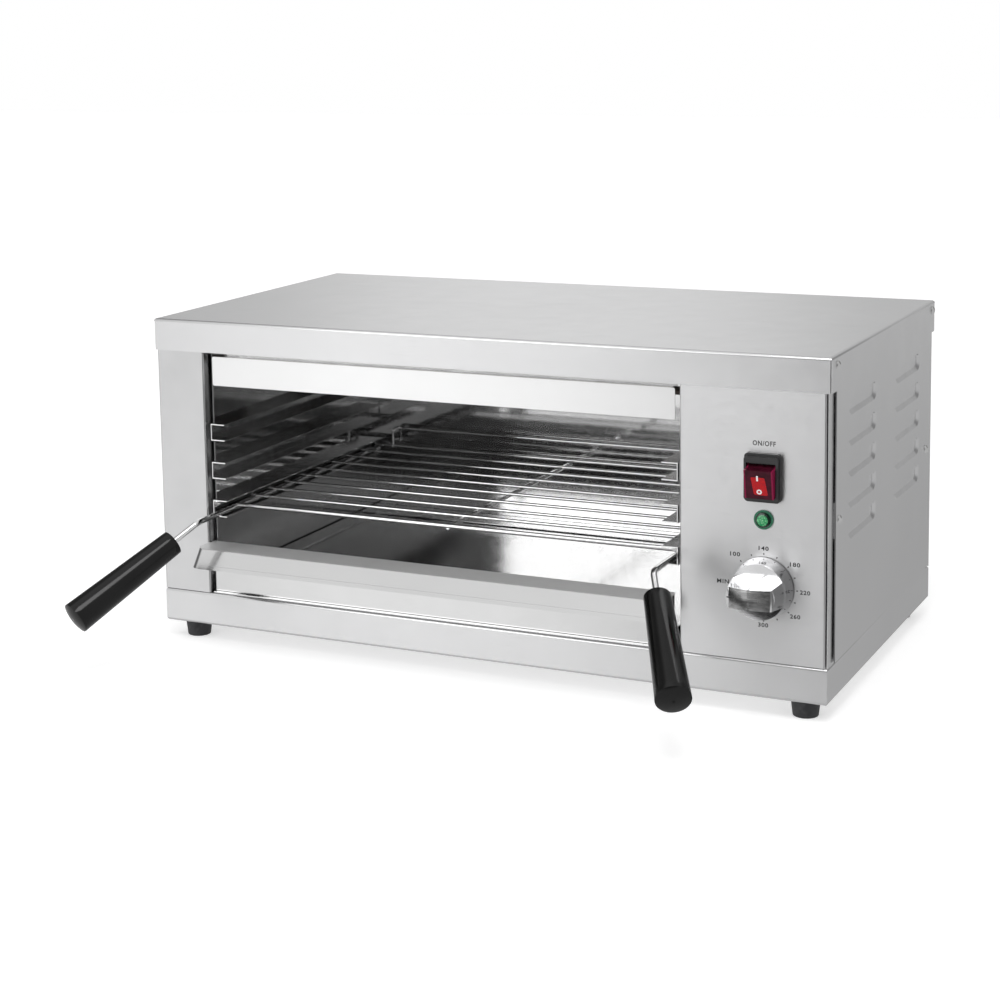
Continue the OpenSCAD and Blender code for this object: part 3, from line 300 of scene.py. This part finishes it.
def lens_plastic(name, centre):
    """Green lamp lens: faceted centre brightened by painted glow and glints, a ring of painted shade, clear
    flange.
    """
    made = Shader(name, IOR=1.49, Coat_Weight=0.4, Coat_Roughness=0.04, Transmission_Weight=0.2)
    facets = made.node("ShaderNodeTexVoronoi", (made.place(),))
    facets.inputs["Scale"].default_value = 620
    facet_relief_and_glints = made.scale(facets.outputs["Distance"], 0.05, 0.6, 0.0, 1.0)
    # painted glow and glints: the centre's bright green, lighter and darker facet by facet; the same facets
    # also give the relief
    painted_glow = made.mix(facet_relief_and_glints, (0.30, 0.86, 0.42), (0.02, 0.36, 0.12))
    radius = made.away_from(centre, (1, 0, 1))
    # painted shade: a dark ring around the bright centre
    ring = made.mix(made.scale(radius, 3.9 * MM, 4.9 * MM, 0.0, 1.0, True), painted_glow, (0.0, 0.022, 0.01))
    flange = made.scale(radius, 5.8 * MM, 6.3 * MM, 0.0, 1.0, True)
    made.colour(made.mix(flange, ring, (0.02, 0.22, 0.11)))
    made.roughness(made.scale(facet_relief_and_glints, 0.0, 1.0, 0.05, 0.12))
    made.bump(facet_relief_and_glints, 0.35, 0.0003)
    return made.material


def heater_sheath(name):
    """Oxidised tubular heater with heat bands."""
    made = Shader(name, Metallic=0.9)
    bands = made.scale(made.noise(18, 3.0, 0.6, (1, 0.1, 0.1)), 0.35, 0.7, 0.0, 1.0)
    scale = made.noise(700, 4.0, 0.7)
    made.colour(made.mix(bands, (0.05, 0.047, 0.045), (0.13, 0.105, 0.09)))
    made.roughness(made.scale(scale, 0.3, 0.7, 0.42, 0.68))
    made.bump(scale, 0.2, 0.0001)
    return made.material


def wool(name):
    """Matted mineral wool."""
    made = Shader(name, Roughness=0.95, Sheen_Weight=0.3)
    fibres = made.noise(420, 8.0, 0.75, (0.25, 1, 1))
    made.colour(made.mix(made.scale(fibres, 0.35, 0.65, 0.0, 1.0), (0.42, 0.36, 0.22), (0.72, 0.66, 0.48)))
    made.bump(fibres, 0.8, 0.002)
    return made.material


def ceramic(name):
    made = Shader(name)
    speckle = made.noise(800, 5.0, 0.7)
    made.colour(made.mix(made.scale(speckle, 0.35, 0.7, 0.0, 1.0), (0.72, 0.69, 0.6), (0.84, 0.82, 0.75)))
    made.roughness(made.scale(speckle, 0.3, 0.7, 0.35, 0.6))
    made.bump(speckle, 0.12, 0.0001)
    return made.material


def warm_metal(name, tone, tarnish):
    """Brass or copper with tarnished patches."""
    made = Shader(name, Metallic=1.0)
    patches = made.noise(90, 5.0, 0.65)
    made.colour(made.mix(made.scale(patches, 0.4, 0.72, 0.0, 1.0), tone, tarnish))
    made.roughness(made.scale(patches, 0.3, 0.7, 0.22, 0.46))
    made.bump(made.noise(600, 3.0, 0.6), 0.08, 0.0001)
    return made.material


def ink(name, colour, rough=0.5):
    """Printed marking: slightly uneven cover."""
    made = Shader(name)
    cover = made.scale(made.noise(1500, 4.0, 0.6), 0.35, 0.7, 0.0, 1.0)
    light = tuple(min(1, c * 1.2 + 0.01) for c in colour)
    made.colour(made.mix(cover, colour, light))
    made.roughness(made.scale(cover, 0.0, 1.0, rough * 0.85, rough * 1.15))
    return made.material


STEEL = (0.685, 0.685, 0.69)
PALE_STEEL = (0.80, 0.80, 0.80)
LIP_STEEL = (0.62, 0.62, 0.62)

casing_steel = brushed_steel("casing_steel", STEEL, 0.22, 0.8)
front_steel = brushed_steel("front_steel", STEEL, 0.24)
panel_steel = brushed_steel("panel_steel", STEEL, 0.3)
lip_steel = brushed_steel("lip_steel", LIP_STEEL, 0.16, top_rough=0.5)
upright_steel = brushed_steel("upright_steel", STEEL, 0.24, upright=True)
shield_steel = brushed_steel("shield_steel", PALE_STEEL, 0.2, 0.6)
inner_steel = polished_steel("inner_steel", (0.8, 0.8, 0.8), 0.08, 0.6)
guide_steel = polished_steel("guide_steel", (0.8, 0.8, 0.8), 0.14)
tray_steel = polished_steel("tray_steel", (0.82, 0.82, 0.82), 0.13, 0.4)
hidden_steel = brushed_steel("hidden_steel", (0.4, 0.4, 0.4), 0.4)
wire_chrome = chrome("wire_chrome", (0.9, 0.9, 0.9))
screw_chrome = chrome("screw_chrome", (0.7, 0.7, 0.7), 0.14)
knob_chrome = knob_metal("knob_chrome")
grip_black = plastic("grip_black", (0.004, 0.004, 0.004), 0.12, 700, 0.03, 0.3)
switch_black = plastic("switch_black", (0.026, 0.026, 0.027), 0.38, 1400, 0.1)
gland_black = plastic("gland_black", (0.02, 0.02, 0.02), 0.5, 1100, 0.12)
wire_red = plastic("wire_red", (0.33, 0.05, 0.035), 0.45, 900, 0.1)
rocker_red = rocker_plastic("rocker_red", middle("switch_rocker"))
window_red = window_plastic("window_red")
lens_green = lens_plastic("lens_green", middle("lamp_lens"))
foot_rubber = rubber("foot_rubber")
sheath = heater_sheath("heater_sheath")
mineral_wool = wool("mineral_wool")
white_ceramic = ceramic("white_ceramic")
brass = warm_metal("brass", (0.66, 0.47, 0.2), (0.42, 0.27, 0.11))
copper = warm_metal("copper", (0.68, 0.36, 0.22), (0.36, 0.17, 0.1))
black_ink = ink("black_ink", (0.015, 0.015, 0.016))
white_ink = ink("white_ink", (0.85, 0.82, 0.84), 0.35)

NODE_MATERIALS = {
    casing_steel: ["outer_casing", "rear_panel", "rear_posts"],
    front_steel: ["base_pan"],
    panel_steel: ["control_panel"],
    lip_steel: ["tray_front"],
    upright_steel: ["left_front_post", "right_front_post"],
    shield_steel: ["heat_shield"],
    inner_steel: ["cavity_left_wall", "cavity_right_wall", "cavity_back_wall", "cavity_ceiling",
                  "cavity_floor"],
    guide_steel: ["left_rack_guides", "right_rack_guides"],
    tray_steel: ["tray_pan"],
    hidden_steel: ["element_brackets", "thermostat", "bulb_clips"],
    wire_chrome: ["rack_left_rod", "rack_right_rod", "rack_front_rod", "rack_cross_rods",
                  "rack_centre_rod", "rack_backstop_bar", "rack_backstop_posts"],
    screw_chrome: ["casing_screws", "rear_screws", "foot_screws", "thermostat_screws"],
    knob_chrome: ["knob"],
    grip_black: ["left_grip", "right_grip"],
    switch_black: ["switch_housing", "lamp_body"],
    gland_black: ["cable_gland", "gland_nut"],
    wire_red: ["wiring"],
    rocker_red: ["switch_rocker"],
    lens_green: ["lamp_lens"],
    foot_rubber: ["rubber_feet"],
    sheath: ["front_heating_element", "rear_heating_element"],
    mineral_wool: ["insulation_blanket"],
    white_ceramic: ["element_terminals", "terminal_block"],
    brass: ["switch_blades", "earth_stud", "thermostat_shaft"],
    copper: ["thermostat_bulb", "capillary"],
}

# Radius of each node's edges in millimetres
EDGE = {"knob": 1.1, "left_grip": 1.2, "right_grip": 1.2, "switch_housing": 0.6, "switch_rocker": 0.7,
        "rubber_feet": 0.8, "cable_gland": 0.6, "thermostat": 0.8, "terminal_block": 0.8, "lamp_lens": 0.4,
        "casing_screws": 0.3, "rear_screws": 0.3, "rack_centre_rod": 1.2}
SHEET_EDGE = 0.2
PLAIN = ["wiring", "capillary", "insulation_blanket"]


def soften(obj, width):
    """Joins the mesh's split corners and rounds its sharp edges."""
    weld = obj.modifiers.new("weld", "WELD")
    weld.merge_threshold = 1e-6
    bevel = obj.modifiers.new("edges", "BEVEL")
    bevel.width = width * MM
    bevel.segments = 3
    bevel.limit_method = "ANGLE"
    bevel.angle_limit = math.radians(35)


for material, names in NODE_MATERIALS.items():
    for name in names:
        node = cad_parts[name]
        node.data.materials.clear()
        node.data.materials.append(material)
        if name not in PLAIN:
            soften(node, EDGE.get(name, SHEET_EDGE))

# ------------------------------------------------------------------ markings

FACE_UP = Matrix.Rotation(math.pi / 2, 4, "X")
CAPITAL_HEIGHT = 0.7    # of a letter, as a share of the font's size
LETTER_SPACING = 1.15
RING_STEPS = 32


def piece(name, mesh, material, body, place):
    """A mesh drawn in the XY plane, stood up to face the front at a place and ridden on a body."""
    mesh.transform(place @ FACE_UP)
    mesh.materials.append(material)
    obj = bpy.data.objects.new(name, mesh)
    bpy.context.scene.collection.objects.link(obj)
    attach(obj, body)
    return obj


def letters(words, width, height, weight, relief=0.03):
    """Letters that fill a width and height in millimetres, centred on the origin; weight
    thickens their strokes."""
    curve = bpy.data.curves.new(words, "FONT")
    curve.body = words
    curve.size = height * MM / CAPITAL_HEIGHT
    curve.space_character = LETTER_SPACING
    curve.offset = weight * MM
    curve.extrude = relief * MM
    curve.resolution_u = 4
    text = bpy.data.objects.new(words, curve)
    bpy.context.scene.collection.objects.link(text)
    bpy.context.view_layer.update()
    mesh = bpy.data.meshes.new_from_object(text.evaluated_get(bpy.context.evaluated_depsgraph_get()))
    bpy.data.objects.remove(text)
    xs = [v.co.x for v in mesh.vertices]
    ys = [v.co.y for v in mesh.vertices]
    fit = Matrix.Diagonal((width * MM / (max(xs) - min(xs)), height * MM / (max(ys) - min(ys)), 1, 1))
    mesh.transform(fit @ Matrix.Translation((-(max(xs) + min(xs)) / 2, -(max(ys) + min(ys)) / 2, 0)))
    return mesh


def ring(width, height, stroke, thick):
    """A flat oval ring, millimetres."""
    build = bmesh.new()
    turns = [2 * math.pi * k / RING_STEPS for k in range(RING_STEPS)]
    loops = []
    for z in (0, thick):
        for inset in (0, stroke):
            rx, ry = (width / 2 - inset) * MM, (height / 2 - inset) * MM
            loops.append([build.verts.new((rx * math.cos(a), ry * math.sin(a), z * MM)) for a in turns])
    for one, other in ((0, 1), (1, 3), (3, 2), (2, 0)):
        for k in range(RING_STEPS):
            n = (k + 1) % RING_STEPS
            build.faces.new((loops[one][k], loops[one][n], loops[other][n], loops[other][k]))
    bmesh.ops.recalc_face_normals(build, faces=build.faces)
    mesh = bpy.data.meshes.new("ring")
    build.to_mesh(mesh)
    build.free()
    return mesh


def plate(width, height, radius, thick, lean=0.0):
    """A flat plate with rounded corners, millimetres; lean shifts its lower edge sideways."""
    build = bmesh.new()
    outline = []
    for sx, sy, start in ((1, 1, 0), (-1, 1, 90), (-1, -1, 180), (1, -1, 270)):
        for step in range(5):
            a = math.radians(start + step * 22.5)
            x = sx * (width / 2 - radius) + radius * math.cos(a)
            y = sy * (height / 2 - radius) + radius * math.sin(a)
            outline.append(build.verts.new(((x - lean * y / height) * MM, y * MM, 0)))
    face = build.faces.new(outline)
    raised = bmesh.ops.extrude_face_region(build, geom=[face])["geom"]
    for v in (v for v in raised if isinstance(v, bmesh.types.BMVert)):
        v.co.z += thick * MM
    mesh = bpy.data.meshes.new("plate")
    bmesh.ops.recalc_face_normals(build, faces=build.faces)
    build.to_mesh(mesh)
    build.free()
    return mesh


# Words of the dial with their places from its centre, and their size
DIAL_WORDS = [("MIN", -33.3, 1.7), ("100", -23.4, 24.6), ("140", -0.2, 31.3), ("180", 25.1, 20.7),
              ("220", 33.2, -0.8), ("260", 25.4, -20.8), ("300", -0.4, -30.3)]
FIGURE_W, FIGURE_H = 8.2, 3.45
MIN_W = 9.9
STROKE = 0.13
DOT_REACH = 26.9
DOT_ANGLES = [180, 134, 112, 90, 67, 43, 22, 0, -21, -42, -66, -90]


def on_panel(x, z):
    return Matrix.Translation(at(x, 0, z))


for words, across, up in DIAL_WORDS:
    wide = MIN_W if words == "MIN" else FIGURE_W
    piece("dial_" + words, letters(words, wide, FIGURE_H, STROKE), black_ink, "cabinet",
          on_panel(CONTROL_X + across, DIAL_Z + up))
for angle in DOT_ANGLES:
    turn = math.radians(angle)
    spot = on_panel(CONTROL_X + DOT_REACH * math.cos(turn), DIAL_Z + DOT_REACH * math.sin(turn))
    piece("dot_%d" % (angle % 360), plate(1.5, 0.9, 0.4, 0.03), black_ink, "cabinet",
          spot @ Matrix.Rotation(-turn, 4, "Y"))
piece("switch_words", letters("ON/OFF", 18.5, 4.0, STROKE), black_ink, "cabinet", on_panel(CONTROL_X, 204.7))

# ------------------------------------------------------------------ switch and knob


def on_rocker(across, up):
    """A place on the rocker's face, from its middle."""
    return (Matrix.Translation(at(*ROCKER_PIVOT)) @ Matrix.Rotation(math.radians(ROCKER_TILT), 4, "X")
            @ Matrix.Translation(Vector((across, -ROCKER_REACH, up)) * MM))


piece("rocker_window", plate(11.2, 14.5, 1.2, 0.06, lean=2.2), window_red, "rocker", on_rocker(0.6, -1.0))
piece("rocker_on_mark", plate(1.4, 4.3, 0.3, 0.14), white_ink, "rocker", on_rocker(-0.8, 5.4))
piece("rocker_off_mark", ring(4.3, 4.0, 1.1, 0.14), white_ink, "rocker", on_rocker(0.4, -5.6))

POINTER_X = -16.5       # middle of the knob's pointer from the dial's centre
pointer_y = KNOB_FACE_Y + KNOB_FACE_R - math.sqrt(KNOB_FACE_R ** 2 - POINTER_X ** 2)
pointer_turn = math.asin(POINTER_X / KNOB_FACE_R)
pointer_place = Matrix.Translation(at(CONTROL_X + POINTER_X, pointer_y, DIAL_Z))
piece("knob_pointer", plate(4.0, 0.9, 0.3, 0.05), black_ink, "control_knob",
      pointer_place @ Matrix.Rotation(pointer_turn, 4, "Z"))

# ------------------------------------------------------------------ stage

CAMERA_PLACE = at(1048.63, -1546.47, 546.28)
CAMERA_AZIMUTH, CAMERA_ELEVATION, CAMERA_ROLL = 26.28, 7.97, -1.03
CAMERA_LENS = 76.09
CAMERA_SHIFT = (0.0554, -0.2006)


def add_camera():
    data = bpy.data.cameras.new("camera")
    data.lens = CAMERA_LENS
    data.shift_x, data.shift_y = CAMERA_SHIFT
    camera = bpy.data.objects.new("camera", data)
    camera.matrix_world = (
        Matrix.Translation(CAMERA_PLACE)
        @ Matrix.Rotation(math.radians(CAMERA_AZIMUTH), 4, "Z")
        @ Matrix.Rotation(math.radians(90 - CAMERA_ELEVATION), 4, "X")
        @ Matrix.Rotation(math.radians(CAMERA_ROLL), 4, "Z"))
    bpy.context.scene.collection.objects.link(camera)
    bpy.context.scene.camera = camera


FLOOR_REACH = 8.0


def add_floor():
    """A pale floor that keeps a faint shadow and, like the walls, is clear to reflections."""
    corners = [(sx * FLOOR_REACH, sy * FLOOR_REACH, 0) for sx, sy in ((-1, -1), (1, -1), (1, 1), (-1, 1))]
    mesh = bpy.data.meshes.new("floor")
    mesh.from_pydata(corners, [], [(0, 1, 2, 3)])
    floor = bpy.data.objects.new("floor", mesh)
    bpy.context.scene.collection.objects.link(floor)
    made = Shader("floor_white", Roughness=0.9)
    made.socket("Base_Color").default_value = (0.82, 0.82, 0.82, 1)
    rays = made.node("ShaderNodeLightPath").outputs
    glow = made.node("ShaderNodeEmission", ((1, 1, 1, 1), made.math("MULTIPLY", rays["Is Camera Ray"], 0.5)))
    seen = made.node("ShaderNodeAddShader", (made.bsdf.outputs[0], glow.outputs[0]))
    clear = made.node("ShaderNodeBsdfTransparent")
    reflected = made.math("MAXIMUM", rays["Is Glossy Ray"], rays["Is Transmission Ray"])
    both = made.node("ShaderNodeMixShader", (reflected, seen.outputs[0], clear.outputs[0]))
    made.link(both.outputs[0], made.tree.nodes["Material Output"].inputs["Surface"])
    mesh.materials.append(made.material)


# The pale studio around the object: a level, and soft round areas that are brighter or
# darker than it, as (azimuth, elevation, full within, gone beyond, amount), in degrees
STUDIO_LEVEL = 0.61
STUDIO_AREAS = [
    (-75, 2, 33, 46, -0.44),
    (-120, -8, 22, 53, 0.24),
    (-115.5, -13, 4, 11, 0.50),
    (-113, 18, 12, 21, 1.8),
    (113, 12, 4, 9, 0.26),
    (116, 22, 4, 11, 0.35),
    (165, 22, 20, 40, -0.45),
    (48, 22, 14, 30, -0.35),
    (82, -16, 3, 9, -0.34),
    (-110, 60, 15, 50, 0.40),
]


def toward(azimuth, elevation):
    a, e = math.radians(azimuth), math.radians(elevation)
    return (math.cos(e) * math.cos(a), math.cos(e) * math.sin(a), math.sin(e))


def add_world():
    """White where the camera looks past the object; the studio in light and reflections."""
    world = bpy.data.worlds.new("studio")
    bpy.context.scene.world = world
    world.use_nodes = True
    made = Tree(world.node_tree)
    direction = made.node("ShaderNodeTexCoord").outputs["Generated"]
    level = STUDIO_LEVEL
    for azimuth, elevation, inner, outer, amount in STUDIO_AREAS:
        near = made.node("ShaderNodeVectorMath", (direction, toward(azimuth, elevation)),
                         operation="DOT_PRODUCT")
        part = made.scale(near.outputs["Value"], math.cos(math.radians(outer)), math.cos(math.radians(inner)),
                          0.0, amount, True)
        level = made.math("ADD", part, level)
    rays = made.node("ShaderNodeLightPath").outputs
    seen = made.math("MAXIMUM", rays["Is Camera Ray"], rays["Is Transmission Ray"])
    blend = made.node("ShaderNodeMix", (seen,), data_type="FLOAT")
    made.link(level, blend.inputs[2])
    blend.inputs[3].default_value = 1.0
    background = made.tree.nodes["Background"]
    background.inputs["Color"].default_value = (1, 1, 1, 1)
    made.link(blend.outputs[0], background.inputs["Strength"])


def add_softbox(name, place, target, size, power):
    data = bpy.data.lights.new(name, "AREA")
    data.shape = "RECTANGLE"
    data.size, data.size_y = size
    data.energy = power
    lamp = bpy.data.objects.new(name, data)
    lamp.location = place
    lamp.rotation_mode = "QUATERNION"
    lamp.rotation_quaternion = (Vector(target) - Vector(place)).to_track_quat("-Z", "Y")
    bpy.context.scene.collection.objects.link(lamp)


add_camera()
add_floor()
add_world()
add_softbox("key", (0.5, -1.1, 2.3), (0, 0, 0.1), (1.0, 1.0), 14)

bpy.context.scene.view_settings.view_transform = "Standard"
